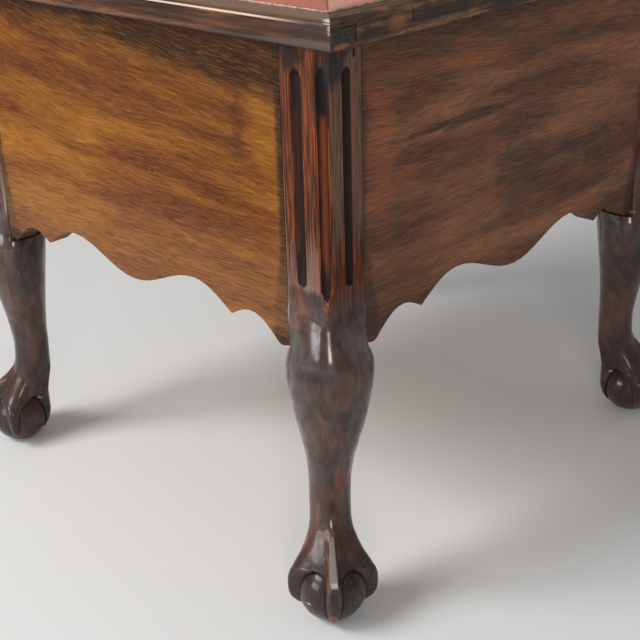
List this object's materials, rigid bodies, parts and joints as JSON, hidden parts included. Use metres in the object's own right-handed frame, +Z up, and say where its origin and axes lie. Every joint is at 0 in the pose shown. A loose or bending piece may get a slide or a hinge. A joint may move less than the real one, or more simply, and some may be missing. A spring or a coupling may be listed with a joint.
{
  "type": "shoe shine footstool",
  "caption": "Square footstool on cabriole legs with ball-and-claw feet, fluted corner posts, scalloped aprons and a hinged leather-topped lid over a box with a shoe rest.",
  "frame": {"origin": "on the floor, midway between the feet", "axes": "+Z up; +X to the right of someone facing the front; the front faces -Y and the hinges are at +Y"},
  "size_m": [0.467, 0.479, 0.4729],
  "materials": {
    "leg_wood": "dark stained and polished, worn to reddish orange on the knees and claws",
    "apron_front_wood": "amber brown with fine rippled cross grain, satin polish",
    "apron_side_wood": "dark red-brown with darker bands, worn satin polish",
    "rail_front_wood": "red-brown, glossy polish",
    "rail_side_wood": "dark stain, worn and dull",
    "inner_wood": "bare secondary wood",
    "rest_wood": "oiled",
    "hinge_brass": "aged brass",
    "screw_brass": "aged brass",
    "seat_leather": "red upholstery leather with a soft pinkish sheen",
    "seat_padding": "cotton wadding"
  },
  "bodies": {
    "stand": {"leg_front_right": "leg_wood", "leg_front_left": "leg_wood", "leg_back_right": "leg_wood", "leg_back_left": "leg_wood", "apron_front": "apron_front_wood", "apron_back": "apron_side_wood", "apron_left": "apron_side_wood", "apron_right": "apron_side_wood", "glue_blocks": "inner_wood", "cleat_front": "inner_wood", "cleat_back": "inner_wood", "cleat_left": "inner_wood", "cleat_right": "inner_wood", "bottom_board": "inner_wood", "partition_left": "inner_wood", "partition_right": "inner_wood", "divider_left": "inner_wood", "divider_right": "inner_wood", "rest_base": "rest_wood", "rest_pillar": "rest_wood", "rest_sole": "rest_wood", "rest_screws": "screw_brass", "hinge_left_box_leaf": "hinge_brass", "hinge_right_box_leaf": "hinge_brass", "hinge_left_pin": "hinge_brass", "hinge_right_pin": "hinge_brass", "hinge_box_screws": "screw_brass"},
    "lid": {"lid_front_rail": "rail_front_wood", "lid_back_rail": "rail_side_wood", "lid_left_rail": "rail_side_wood", "lid_right_rail": "rail_side_wood", "seat_board": "inner_wood", "seat_padding": "seat_padding", "seat_leather": "seat_leather", "seat_screws": "screw_brass", "hinge_left_lid_leaf": "hinge_brass", "hinge_right_lid_leaf": "hinge_brass", "hinge_lid_screws": "screw_brass"}
  },
  "joints": [
    {"name": "lid_hinge", "type": "hinge", "parent": "stand", "child": "lid", "pos_m": [0, 0.2193, 0.4218], "axis": [-1, 0, 0], "range_deg": [0, 100]}
  ]
}
